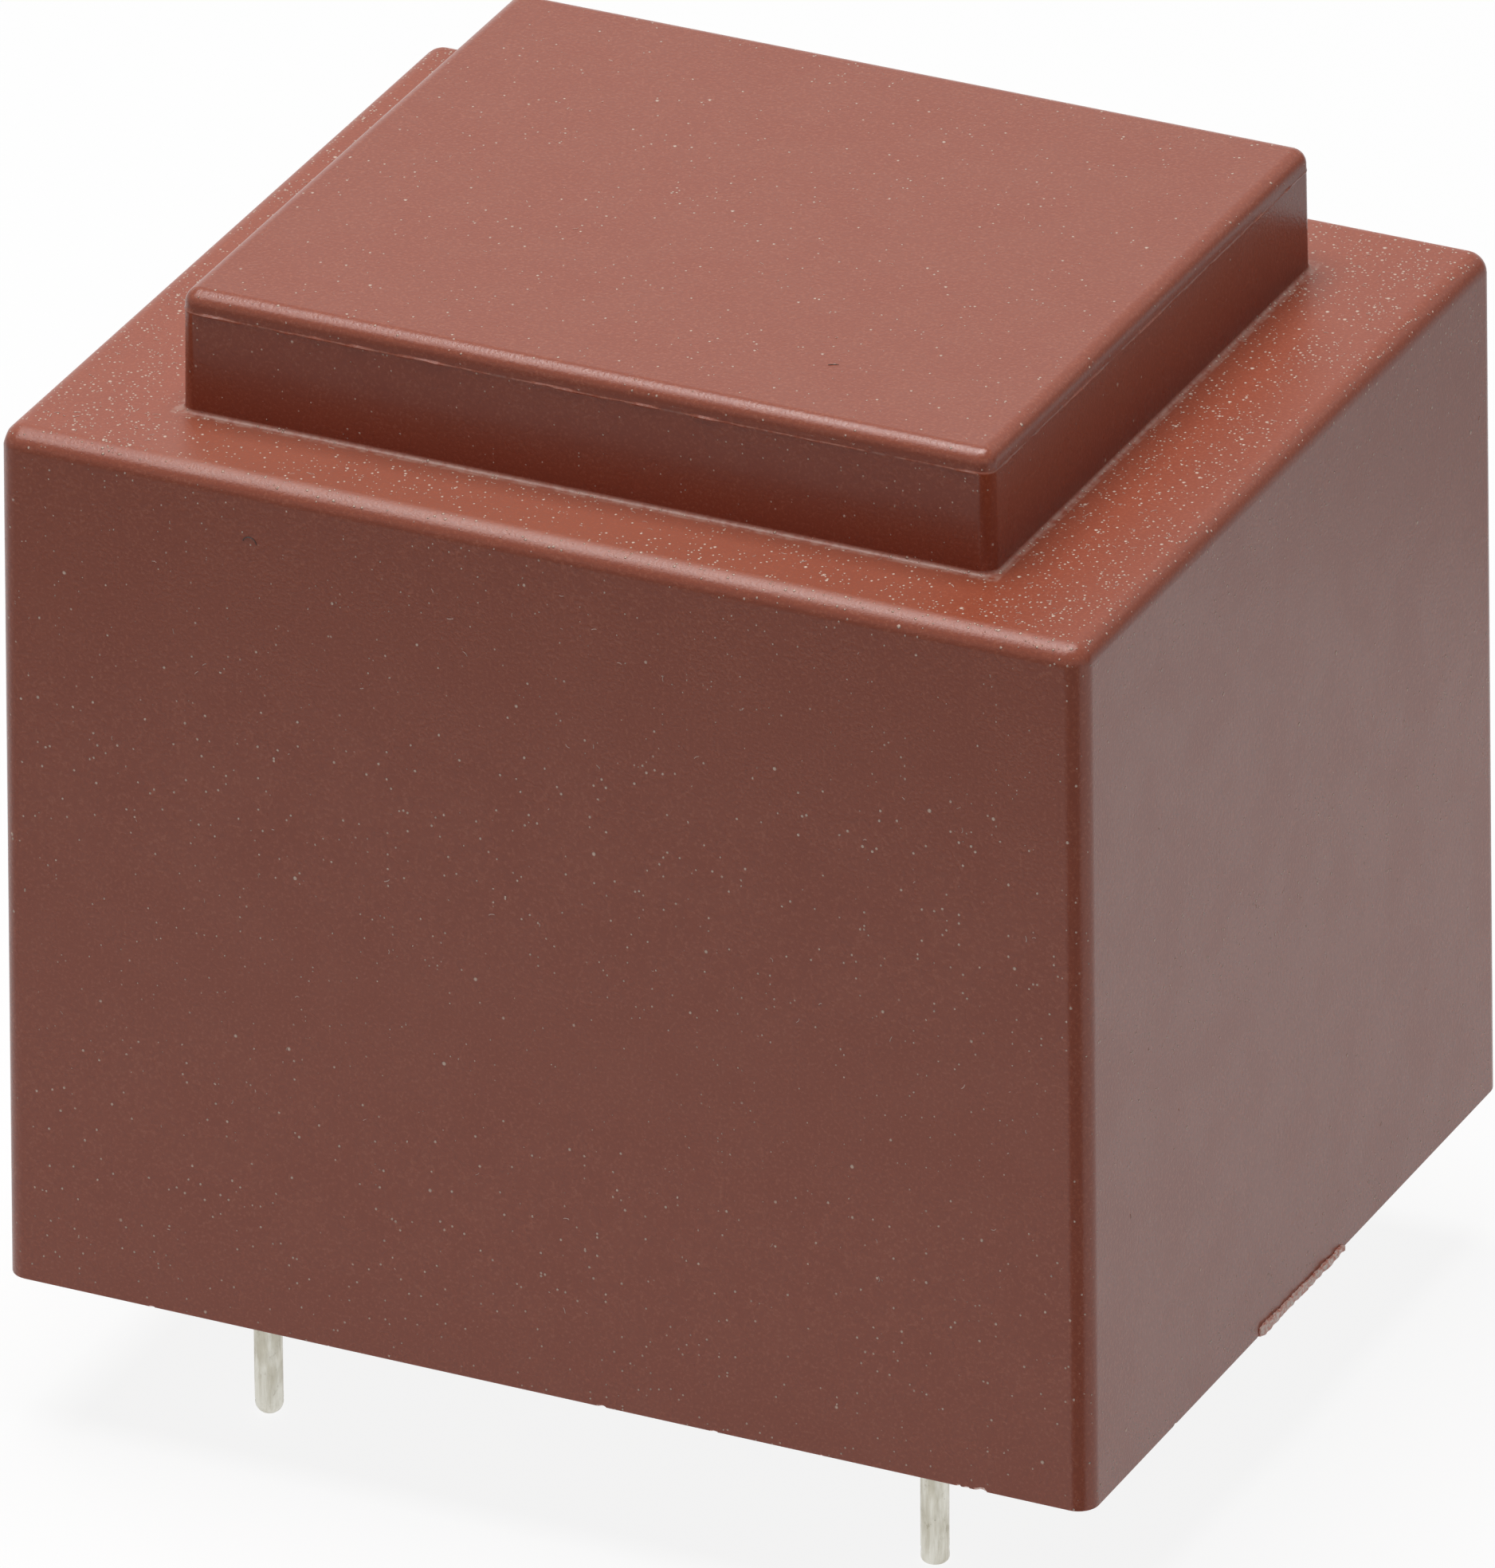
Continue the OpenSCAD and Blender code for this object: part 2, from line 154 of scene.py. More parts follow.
def specks(material, vector, cell, radius, share):
    # Round grains, one at most in each cell; share is the part of the cells that hold one.
    texture = material.node_tree.nodes.new("ShaderNodeTexVoronoi")
    texture.inputs["Scale"].default_value = 1 / cell
    link(material, vector, texture.inputs["Vector"])
    split = material.node_tree.nodes.new("ShaderNodeSeparateColor")
    link(material, texture.outputs["Color"], split.inputs["Color"])
    chosen = maths(material, "LESS_THAN", split.outputs["Red"], share)
    size = maths(material, "MULTIPLY_ADD", split.outputs["Green"], 0.6, 0.4)
    nearness = maths(material, "DIVIDE", texture.outputs["Distance"], size)
    grain = ramp(material, nearness, radius / cell, 0.45 * radius / cell)
    return maths(material, "MULTIPLY", grain, chosen)


# Finishes

casePaint = {
    "base": (0.335, 0.064, 0.021),       # red-brown of the moulded plastic
    "deep": (0.318, 0.058, 0.018),
    "mottleDark": (0.20, 0.03, 0.012),   # colours and shares of the fine mottle
    "mottleDarkShare": 0.34,
    "mottlePale": (0.62, 0.28, 0.19),
    "mottlePaleShare": 0.16,
    "mottleScale": 10,
    "roughness": 0.27,
    "refraction": 1.53,
    "grainDepth": 0.016,                 # mm
}
caseDustAndHighlight = {
    "film": (0.66, 0.47, 0.39),
    "filmShare": 0.10,                   # how much of the ledge's colour is the film's
    "filmRoughness": 0.42,
    "grain": (0.86, 0.70, 0.58),
    "grainShare": 0.75,
    "grainRoughness": 0.8,
    "everywhere": 0.06,                  # share of the cells that hold a grain
    "onLedge": 0.75,
    "fine": (0.12, 0.052),               # cell and radius in mm
    "coarse": (0.26, 0.075),
    "seamLine": (0.04, 0.20),            # reach in mm and strength of each pale line, partly dust and partly painted highlight
    "footLine": (0.10, 0.30),
}


def dustPlaces(material, shape, x, z):
    # Dust lies on the ledge, most of it right and left of the plateau, and at the plateau's foot.
    ledge, edge = shape["ledgeHeight"], shape["capHalfX"]
    onLedge = maths(material, "MULTIPLY", ramp(material, z, ledge - 0.35, ledge - 0.03),
                    ramp(material, z, ledge + 0.14, ledge + 0.05))
    sideways = ramp(material, maths(material, "ABSOLUTE", x), edge - 3, edge + 1.5)
    return onLedge, sideways


def dustAndHighlightLines(material, shape, x, y, z):
    # The mould line and the foot hold more of it, in a ragged pale line, which is also a painted
    # highlight where the ridge and the foot's fillet catch the light.
    streaks = noiseTexture(material, millimetres(material, (1, 1, 0.3)), 3.4, 3, 0.6)
    ragged = ramp(material, streaks, 0.36, 0.60)
    seam, foot = shape["topHeight"] - shape["seamDrop"], shape["ledgeHeight"] + 0.01
    lines = 0
    for height, (reach, strength) in ((seam, caseDustAndHighlight["seamLine"]), (foot, caseDustAndHighlight["footLine"])):
        away = maths(material, "ABSOLUTE", maths(material, "SUBTRACT", z, height))
        line = maths(material, "MULTIPLY", ramp(material, away, reach, 0.3 * reach, 0, strength), ragged)
        lines = maths(material, "MAXIMUM", line, lines)
    for across, half in ((x, shape["capHalfX"]), (y, shape["capHalfY"])):
        onCap = ramp(material, maths(material, "ABSOLUTE", across), half + 0.30, half + 0.22)
        lines = maths(material, "MULTIPLY", lines, onCap)
    return lines


def casePlastic(shape):
    material, surface = newMaterial("casePlastic")
    surface.inputs["IOR"].default_value = casePaint["refraction"]
    plain = millimetres(material)
    split = material.node_tree.nodes.new("ShaderNodeSeparateXYZ")
    link(material, plain, split.inputs["Vector"])
    x, y, z = split.outputs

    clouds = noiseTexture(material, plain, 0.45, 3, 0.6)
    mottle = noiseTexture(material, plain, casePaint["mottleScale"], 2, 0.7)
    dark = ramp(material, mottle, 0.3, 0.7, 0.0, casePaint["mottleDarkShare"])
    pale = ramp(material, mottle, 0.48, 0.28, 0.0, casePaint["mottlePaleShare"])
    cloudy = ramp(material, clouds, 0.35, 0.68)
    colour = mixColours(material, cloudy, casePaint["base"], casePaint["deep"])
    colour = mixColours(material, dark, colour, casePaint["mottleDark"])
    colour = mixColours(material, pale, colour, casePaint["mottlePale"])

    onLedge, sideways = dustPlaces(material, shape, x, z)
    patchy = ramp(material, clouds, 0.34, 0.62)
    ledgeDust = maths(material, "MULTIPLY", onLedge, ramp(material, sideways, 0, 1, 0.40, 0.80))
    ledgeDust = maths(material, "MULTIPLY", ledgeDust, ramp(material, patchy, 0, 1, 0.5, 1.0))
    density = maths(material, "MULTIPLY_ADD", ledgeDust, caseDustAndHighlight["onLedge"], caseDustAndHighlight["everywhere"])
    fine = specks(material, plain, *caseDustAndHighlight["fine"], density)
    turned = millimetres(material, (1, 1, 1), (0.5, 0.3, 0.8), (3.1, 1.7, 5.2))
    coarse = specks(material, turned, *caseDustAndHighlight["coarse"], maths(material, "MULTIPLY", density, 0.4))
    grains = maths(material, "MAXIMUM", fine, coarse)

    film = maths(material, "MULTIPLY", onLedge, ramp(material, mottle, 0.25, 0.75, 0.6, 1.3))
    # The film thins on the side ledges and towards the right: partly less dust, partly painted shade that
    # darkens the right ledge, which lies in the plateau's shade.
    film = maths(material, "MULTIPLY", film, ramp(material, sideways, 0, 1, 1.0, 0.25))
    film = maths(material, "MULTIPLY", film, ramp(material, x, -4, 13, 1.1, 0.7))
    film = maths(material, "MULTIPLY", film, caseDustAndHighlight["filmShare"])
    colour = mixColours(material, film, colour, caseDustAndHighlight["film"])
    # Pale lines at the mould line and the foot: dust, and a painted highlight.
    colour = mixColours(material, dustAndHighlightLines(material, shape, x, y, z), colour, caseDustAndHighlight["film"])
    shown = maths(material, "MULTIPLY", grains, caseDustAndHighlight["grainShare"])
    colour = mixColours(material, shown, colour, caseDustAndHighlight["grain"])

    clean = casePaint["roughness"]
    gloss = ramp(material, clouds, 0.3, 0.7, clean - 0.02, clean + 0.03)
    for place, roughness in ((onLedge, caseDustAndHighlight["filmRoughness"]), (grains, caseDustAndHighlight["grainRoughness"])):
        gloss = maths(material, "MAXIMUM", gloss, maths(material, "MULTIPLY", place, roughness))

    skin = bump(material, mottle, 0.5, casePaint["grainDepth"])
    return dress(material, surface, colour, gloss, bump(material, grains, 0.8, 0.03, skin))


def brokenPlastic():
    material, surface = newMaterial("brokenPlastic")
    crumbs = noiseTexture(material, millimetres(material), 9, 4, 0.65)
    torn, stretched = (0.72, 0.27, 0.19), (0.96, 0.80, 0.73)
    colour = mixColours(material, ramp(material, crumbs, 0.35, 0.62), torn, stretched)
    gloss = ramp(material, crumbs, 0.3, 0.7, 0.3, 0.6)
    return dress(material, surface, colour, gloss, bump(material, crumbs, 0.7, 0.03))


def pottingResin():
    material, surface = newMaterial("pottingResin")
    plain = millimetres(material)
    clouds = noiseTexture(material, plain, 0.25, 4, 0.6, 0.6)
    deep, thin, bubble = (0.060, 0.022, 0.014), (0.095, 0.032, 0.018), (0.16, 0.07, 0.05)
    colour = mixColours(material, ramp(material, clouds, 0.3, 0.7), deep, thin)
    bubbles = specks(material, plain, 0.9, 0.16, 0.35)
    colour = mixColours(material, maths(material, "MULTIPLY", bubbles, 0.4), colour, bubble)
    gloss = ramp(material, clouds, 0.3, 0.7, 0.16, 0.28)
    flow = bump(material, noiseTexture(material, plain, 0.32, 2, 0.5, 0.4), 0.6, 0.12)
    return dress(material, surface, colour, gloss, bump(material, bubbles, 0.5, 0.05, flow))


tinPaint = {
    "dull": (0.56, 0.53, 0.44),
    "bright": (0.78, 0.765, 0.69),
    "blot": (0.36, 0.32, 0.23),
    "blotShare": 0.55,
    "pit": (0.27, 0.26, 0.22),
    "pitShare": 0.5,
}


def tinnedWire():
    material, surface = newMaterial("tinnedWire")
    surface.inputs["Metallic"].default_value = 1.0
    streaks = noiseTexture(material, millimetres(material, (1, 1, 0.16)), 3.2, 5, 0.62, 0.3)
    blots = noiseTexture(material, millimetres(material, (1, 1, 0.7)), 3.6, 4, 0.7)
    shine = ramp(material, streaks, 0.36, 0.66)
    colour = mixColours(material, shine, tinPaint["dull"], tinPaint["bright"])
    blotted = ramp(material, blots, 0.60, 0.74, 0.0, tinPaint["blotShare"])
    colour = mixColours(material, blotted, colour, tinPaint["blot"])
    pits = specks(material, millimetres(material), 0.22, 0.035, 0.35)
    pitted = maths(material, "MULTIPLY", pits, tinPaint["pitShare"])
    colour = mixColours(material, pitted, colour, tinPaint["pit"])
    gloss = ramp(material, blots, 0.3, 0.75, 0.30, 0.50)
    drawn = bump(material, streaks, 0.5, 0.02)
    return dress(material, surface, colour, gloss, bump(material, pits, 0.5, 0.012, drawn))


def varnishedSteel():
    material, surface = newMaterial("varnishedSteel")
    surface.inputs["Metallic"].default_value = 0.85
    rolled = noiseTexture(material, millimetres(material, (0.2, 2.5, 8)), 1.1, 4, 0.6)
    dark, pale = (0.23, 0.22, 0.21), (0.34, 0.32, 0.29)
    colour = mixColours(material, ramp(material, rolled, 0.35, 0.65), dark, pale)
    gloss = ramp(material, rolled, 0.3, 0.7, 0.32, 0.48)
    return dress(material, surface, colour, gloss, bump(material, rolled, 0.4, 0.01))


def bobbinPlastic():
    material, surface = newMaterial("bobbinPlastic")
    plain = millimetres(material)
    flow = noiseTexture(material, plain, 0.7, 4, 0.6)
    dark, pale = (0.58, 0.53, 0.42), (0.66, 0.62, 0.52)
    colour = mixColours(material, ramp(material, flow, 0.3, 0.7), dark, pale)
    gloss = ramp(material, flow, 0.3, 0.7, 0.36, 0.5)
    skin = noiseTexture(material, plain, 6, 2)
    return dress(material, surface, colour, gloss, bump(material, skin, 0.3, 0.01))


def copperTurns(name, pitch):
    # The turns lie side by side along Y, one ridge for each.
    material, surface = newMaterial(name)
    surface.inputs["Metallic"].default_value = 0.9
    turns = material.node_tree.nodes.new("ShaderNodeTexWave")
    turns.wave_type = "BANDS"
    turns.bands_direction = "Y"
    turns.inputs["Scale"].default_value = 0.314 / pitch     # at scale 1 a band is 0.314 wide
    turns.inputs["Distortion"].default_value = 0.35
    link(material, millimetres(material), turns.inputs["Vector"])
    ridge = turns.outputs["Fac"]
    shaded, lit = (0.30, 0.075, 0.022), (0.62, 0.24, 0.085)
    colour = mixColours(material, ridge, shaded, lit)
    gloss = ramp(material, ridge, 0, 1, 0.5, 0.25)
    return dress(material, surface, colour, gloss, bump(material, ridge, 0.8, 0.4 * pitch))


def polyesterTape():
    material, surface = newMaterial("polyesterTape")
    surface.inputs["Coat Weight"].default_value = 0.4
    creases = noiseTexture(material, millimetres(material, (0.4, 2, 0.4)), 1.2, 4, 0.6, 0.8)
    amber, yellow = (0.70, 0.52, 0.10), (0.80, 0.64, 0.18)
    colour = mixColours(material, ramp(material, creases, 0.3, 0.7), amber, yellow)
    gloss = ramp(material, creases, 0.3, 0.7, 0.25, 0.4)
    return dress(material, surface, colour, gloss, bump(material, creases, 0.5, 0.04))


def solderSkin():
    material, surface = newMaterial("solderSkin")
    surface.inputs["Metallic"].default_value = 1.0
    frost = noiseTexture(material, millimetres(material), 5, 4, 0.6)
    dull, bright = (0.50, 0.50, 0.49), (0.70, 0.70, 0.68)
    colour = mixColours(material, ramp(material, frost, 0.3, 0.7), dull, bright)
    gloss = ramp(material, frost, 0.3, 0.7, 0.2, 0.45)
    return dress(material, surface, colour, gloss, bump(material, frost, 0.4, 0.02))


def lintFibre(name, pale, dark):
    material, surface = newMaterial(name)
    tint = noiseTexture(material, millimetres(material), 2.5, 3)
    colour = mixColours(material, ramp(material, tint, 0.3, 0.7), dark, pale)
    gloss = ramp(material, tint, 0.3, 0.7, 0.55, 0.8)
    return dress(material, surface, colour, gloss, bump(material, tint, 0.3, 0.005))


# Building helpers. Pieces are drawn in millimetres and scaled to metres once, at the end.

def makePiece(name, bm, materials, sharpAngle):
    bmesh.ops.remove_doubles(bm, verts=bm.verts, dist=0.0005)
    bmesh.ops.recalc_face_normals(bm, faces=bm.faces)
    bmesh.ops.scale(bm, vec=(mm, mm, mm), verts=bm.verts)
    mesh = bpy.data.meshes.new(name)
    bm.to_mesh(mesh)
    bm.free()
    for material in materials:
        mesh.materials.append(material)
    mesh.polygons.foreach_set("use_smooth", [True] * len(mesh.polygons))
    mesh.set_sharp_from_angle(angle=math.radians(sharpAngle))
    piece = bpy.data.objects.new(name, mesh)
    scene.collection.objects.link(piece)
    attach(piece, "root")
    return piece


def scaleBox(bm, verts, size, centre):
    # Brings a unit cube to a size and a place.
    bmesh.ops.scale(bm, vec=size, verts=verts)
    bmesh.ops.translate(bm, vec=centre, verts=verts)


def faceAt(bm, height, up=1):
    return [f for f in bm.faces if f.normal.z * up > 0.9 and
            abs(f.calc_center_median().z - height) < closeTo]


def upright(edge):
    return (edge.verts[0].co - edge.verts[1].co).normalized().z ** 2 > 0.9


def roundEdges(bm, edges, radius, segments):
    return bmesh.ops.bevel(bm, geom=edges, offset=radius, offset_type="OFFSET", affect="EDGES",
                           segments=segments, profile=0.5, material=-1, clamp_overlap=True)


# The case: a drafted block with a plateau, open below, with its stepped cavity

casingLow, casingHigh = [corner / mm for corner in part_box("casing")]
resinLow, resinHigh = [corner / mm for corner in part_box("potting_compound")]

caseShape = {
    "halfX": -casingLow.x,
    "halfY": casingHigh.y,
    "ledgeHeight": 25.6,
    "topHeight": casingHigh.z - 0.02,
    "wallDraft": 0.24,
    "capHalfX": 11.9,
    "capHalfY": 10.25,
    "capDraft": 0.05,
    "edgeRadius": 0.6,
    "capRadius": 0.43,                   # the plateau's edges are tighter than the case's
    "footRadius": 0.14,
    "breakRadius": 0.04,                 # the rim's lower edge isn't quite sharp
    "firstInset": 2.5,                   # any inset will do, since the half sizes follow
    "cavityHalfX": resinHigh.x,
    "cavityHalfY": resinHigh.y,
    "cavityDraft": 0.12,
    "cavityRadius": 0.3,
    "roof": 1.0,
    "capWall": 1.0,
    "seamDrop": 0.62,                    # mould line below the plateau's top
    "seamWidth": 0.10,
    "seamHeight": 0.035,
    "seamStep": 0.3,
    "chips": {                           # place along the rim's lower edge, and radius
        "front": ((-11.75, 0.10), (-6.4, 0.06), (1.78, 0.15), (5.10, 0.12), (8.3, 0.06),
                  (12.35, 0.11), (12.60, 0.10), (12.99, 0.19)),
        "right": ((-8.0, 0.13), (-2.64, 0.07), (5.3, 0.06)),
    },
}


def wallLean(shape, height):
    # How far the drafted walls have moved in at a height.
    return shape["wallDraft"] * height / shape["ledgeHeight"]


def raiseFace(bm, face, inset, half, rise, halfAbove):
    # Insets a level rectangular face to given half sizes, and extrudes it to others.
    bmesh.ops.inset_region(bm, faces=[face], thickness=inset, use_even_offset=True)
    setHalf(bm, face, half)
    raised = bmesh.ops.extrude_discrete_faces(bm, faces=[face])["faces"][0]
    bmesh.ops.translate(bm, vec=(0, 0, rise), verts=raised.verts)
    setHalf(bm, raised, halfAbove)
    return raised


def setHalf(bm, face, half):
    wide = max(v.co.x for v in face.verts)
    deep = max(v.co.y for v in face.verts)
    bmesh.ops.scale(bm, vec=(half[0] / wide, half[1] / deep, 1), verts=face.verts)


def caseBlock(shape):
    bm = bmesh.new()
    halfX, halfY, lean = shape["halfX"], shape["halfY"], shape["wallDraft"]
    ledge, rise = shape["ledgeHeight"], shape["topHeight"] - shape["ledgeHeight"]
    capX, capY, draft = shape["capHalfX"], shape["capHalfY"], shape["capDraft"]
    block = bmesh.ops.create_cube(bm, size=1)["verts"]
    scaleBox(bm, block, (2 * halfX, 2 * halfY, ledge), (0, 0, ledge / 2))
    upper = faceAt(bm, ledge)[0]
    setHalf(bm, upper, (halfX - lean, halfY - lean))
    raiseFace(bm, upper, shape["firstInset"], (capX + draft, capY + draft), rise, (capX, capY))

    mouth = faceAt(bm, 0, -1)[0]
    cavityX, cavityY, inner = shape["cavityHalfX"], shape["cavityHalfY"], shape["cavityDraft"]
    wall, shelf = shape["capWall"], ledge - shape["roof"]
    ceiling = raiseFace(bm, mouth, halfX - cavityX, (cavityX, cavityY),
                        shelf, (cavityX - inner, cavityY - inner))
    narrow = (capX - wall, capY - wall)
    raiseFace(bm, ceiling, shape["firstInset"], narrow, rise, narrow)
    bmesh.ops.recalc_face_normals(bm, faces=bm.faces)
    return bm


def roundCase(bm, shape):
    ledge, top = shape["ledgeHeight"], shape["topHeight"]
    cavityX, capX = shape["cavityHalfX"], shape["capHalfX"]

    def middle(edge):
        return (edge.verts[0].co + edge.verts[1].co) / 2

    def level(edge, height):
        return all(abs(v.co.z - height) < closeTo for v in edge.verts)

    def outer(edge):
        at = middle(edge)
        return abs(at.x) > cavityX + 0.1 or (at.z > ledge and abs(at.x) > capX - 0.2)

    def outside(edge, halfX, halfY, margin):
        at = middle(edge)
        return max(abs(at.x) - halfX, abs(at.y) - halfY) > margin

    def betweenUpAndSide(edge):
        slopes = sorted(abs(f.normal.z) for f in edge.link_faces)
        return slopes[0] < 0.3 and slopes[1] > 0.9

    corners = [e for e in bm.edges if upright(e) and outer(e) and middle(e).z < ledge]
    ledgeRim = [e for e in bm.edges if level(e, ledge) and betweenUpAndSide(e) and
                outside(e, capX, shape["capHalfY"], 1)]
    roundEdges(bm, corners + ledgeRim, shape["edgeRadius"], 8)
    capEdges = [e for e in bm.edges if level(e, top) or
                (upright(e) and outer(e) and middle(e).z > ledge)]
    roundEdges(bm, capEdges, shape["capRadius"], 6)

    foot = [e for e in bm.edges if level(e, ledge) and betweenUpAndSide(e)]
    roundEdges(bm, foot, shape["footRadius"], 4)
    inner = [e for e in bm.edges if upright(e) and not outer(e) and e.calc_face_angle() > 1.2]
    roundEdges(bm, inner, shape["cavityRadius"], 3)
    lower = [e for e in bm.edges if level(e, 0) and betweenUpAndSide(e) and
             outside(e, cavityX, shape["cavityHalfY"], 0.4)]
    roundEdges(bm, lower, shape["breakRadius"], 2)


def addMouldLine(bm, shape):
    # A low ragged ridge round the plateau, where the two halves of the mould met.
    middleHeight = shape["topHeight"] - shape["seamDrop"]
    heights = [middleHeight + side * shape["seamWidth"] / 2 for side in (-1, 0, 1)]
    for height in heights:
        bmesh.ops.bisect_plane(bm, geom=bm.verts[:] + bm.edges[:] + bm.faces[:],
                               plane_co=(0, 0, height), plane_no=(0, 0, 1), dist=1e-5)
    for axis in (0, 1):
        long = [e for e in bm.edges if e.calc_length() > 2 and
                any(all(abs(v.co.z - h) < closeTo for v in e.verts) for h in heights) and
                abs(e.verts[0].co[axis] - e.verts[1].co[axis]) > 2]
        cuts = int(long[0].calc_length() / shape["seamStep"])
        bmesh.ops.subdivide_edges(bm, edges=long, cuts=cuts, use_grid_fill=True)
    bm.normal_update()
    for vert in bm.verts:
        if abs(vert.co.z - middleHeight) < closeTo:
            outward = Vector((vert.normal.x, vert.normal.y, 0)).normalized()
            ragged = 0.8 + 0.9 * noise.noise(vert.co * 2.3) + 0.5 * noise.noise(vert.co * 7)
            vert.co += outward * shape["seamHeight"] * max(ragged, 0.05)
            vert.co.z += 0.02 * noise.noise(vert.co * 1.7)


def roughBall(bm, centre, radius, squash=(1, 1, 1), level=2):
    # A small broken lump, as a cutter or a crumb.
    lump = bmesh.ops.create_icosphere(bm, subdivisions=level, radius=radius)["verts"]
    seed = Vector(centre) * 3.7
    for vert in lump:
        vert.co *= 1 + 0.45 * noise.noise(vert.co * 1.6 / radius + seed)
    bmesh.ops.scale(bm, vec=squash, verts=lump)
    bmesh.ops.rotate(bm, verts=lump, matrix=Matrix.Rotation(seed.length, 3, "Z"))
    bmesh.ops.translate(bm, vec=centre, verts=lump)


def chipCutters(shape):
    # Each chip is a lump whose middle lies a little outside and below the rim's edge.
    bm = bmesh.new()
    for place, radius in shape["chips"]["front"]:
        outY = -shape["halfY"] - 0.25 * radius
        roughBall(bm, (place, outY, -0.1 * radius), radius, (1.1, 0.9, 0.8))
    for place, radius in shape["chips"]["right"]:
        outX = shape["halfX"] + 0.25 * radius
        roughBall(bm, (outX, place, -0.1 * radius), radius, (0.9, 1.1, 0.8))
    for face in bm.faces:
        face.material_index = 1
    return bm


def carve(body, tool, materials):
    # Takes the tool out of the body. The new faces keep the tool's material.
    holders = []
    for name, bm in (("body", body), ("tool", tool)):
        mesh = bpy.data.meshes.new(name)
        bm.to_mesh(mesh)
        bm.free()
        for material in materials:
            mesh.materials.append(material)
        holder = bpy.data.objects.new(name, mesh)
        scene.collection.objects.link(holder)
        holders.append(holder)
    cut = holders[0].modifiers.new("cut", "BOOLEAN")
    cut.operation = "DIFFERENCE"
    cut.solver = "EXACT"
    cut.object = holders[1]
    carved = bmesh.new()
    carved.from_object(holders[0], bpy.context.evaluated_depsgraph_get())
    for holder in holders:
        bpy.data.objects.remove(holder)
    return carved


paint = casePlastic(caseShape)
broken = brokenPlastic()
block = caseBlock(caseShape)
roundCase(block, caseShape)
addMouldLine(block, caseShape)
block = carve(block, chipCutters(caseShape), (paint, broken))
caseShell = makePiece("caseShell", block, (paint, broken), 30)
caseShell.modifiers.new("flatFaces", "WEIGHTED_NORMAL").keep_sharp = True
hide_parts("casing")
print("case built:", len(caseShell.data.polygons), "faces")


# The film gate's stub, broken off along the right side's lower edge, and crumbs left at the breaks

gateShape = {
    "middle": 0.2,                       # along the side, behind the centre
    "length": 5.5,
    "height": 0.30,
    "proud": casingHigh.x - caseShape["halfX"],
    "buried": 0.15,
    "steps": 70,
}
crumbShape = {
    "gateCount": 26,
    "gateRadius": (0.02, 0.045),
    "chipCount": 3,                      # at each of the front's chips
    "chipRadius": (0.015, 0.035),
}


def gateStub(shape):
    bm = bmesh.new()
    bar = bmesh.ops.create_cube(bm, size=1)["verts"]
    deep = shape["proud"] + shape["buried"]
    centre = (caseShape["halfX"] + shape["proud"] - deep / 2, shape["middle"], shape["height"] / 2)
    scaleBox(bm, bar, (deep, shape["length"], shape["height"]), centre)
    along = [e for e in bm.edges if e.calc_length() > 1]
    bmesh.ops.subdivide_edges(bm, edges=along, cuts=shape["steps"], use_grid_fill=True)
    across = [e for e in bm.edges if abs(e.verts[0].co.y - e.verts[1].co.y) < closeTo]
    bmesh.ops.subdivide_edges(bm, edges=across, cuts=2, use_grid_fill=True)
    face = caseShape["halfX"]
    for vert in bm.verts:
        t = (vert.co.y - shape["middle"]) / shape["length"] + 0.5       # 0 to 1 from front to rear
        ends = min(1, (0.15 + 24 * t) ** 0.5, (0.1 + 60 * (1 - t)) ** 0.5)
        wavy = 0.35 * noise.noise(Vector((vert.co.y * 2.1, 0, 3)))
        ragged = 1 + wavy + 0.25 * noise.noise(vert.co * 9)
        vert.co.z *= (1.0 - 0.5 * t ** 0.7) * ragged * (0.5 + 0.5 * ends)
        if vert.co.x > face:
            worn = 0.75 + 0.45 * noise.noise(vert.co * 5 + Vector((4, 0, 0)))
            vert.co.x = face + (vert.co.x - face) * min(1, worn) * ends
        vert.co.z = max(vert.co.z, 0)
    return bm


def breakCrumbs(shape, gate):
    bm = bmesh.new()
    x = caseShape["halfX"]
    for crumb in range(shape["gateCount"]):
        t = random.random()
        y = gate["middle"] + gate["length"] * (t - 0.5)
        height = gate["height"] * (0.95 - 0.45 * t) * random.uniform(0.35, 0.95)
        roughBall(bm, (x + 0.05, y, height), random.uniform(*shape["gateRadius"]), level=1)
    for place, radius in caseShape["chips"]["front"]:
        for crumb in range(shape["chipCount"]):
            around = Vector((random.uniform(-1, 1), 0, random.uniform(0.2, 0.9))) * radius
            roughBall(bm, (place + around.x, 0.08 - caseShape["halfY"], around.z),
                      random.uniform(*shape["chipRadius"]), level=1)
    return bm


makePiece("gateStub", gateStub(gateShape), (broken,), 35)
makePiece("breakCrumbs", breakCrumbs(crumbShape, gateShape), (broken,), 50)
print("gate stub and crumbs built")


# Fibres that lie on the faces: two dark hairs and pale lint

lintShape = {
    "radius": 0.013,
    "thickness": (0.6, 1.1),             # shares of the radius
    "length": (0.07, 0.24),
    "curl": 2.2,                         # most that a fibre turns, in radians
    "count": {"front": 70, "right": 16, "frontLedge": 60, "rightLedge": 110, "leftLedge": 70, "top": 26},
    "sideHeights": (2.2, 24.6),
    "topHalf": (11, 9.4),
}
frontHair = {
    "place": (-8.62, 23.78),             # across and up, in mm
    "length": 0.62,
    "heading": 1.35,                     # radians
    "curl": -3.0,
    "points": 9,
    "radius": 0.020,
}
topHair = {
    "place": (5.75, -7.2, caseShape["topHeight"]),
    "length": 0.36,
    "heading": 0.75,
    "curl": -0.5,
    "points": 5,
    "radius": 0.018,
}


# A spot on a face: the place and the two directions of its plane.

def onFront(x, z):
    y = wallLean(caseShape, z) - caseShape["halfY"]
    return Vector((x, y, z)), Vector((1, 0, 0)), Vector((0, 0, 1))


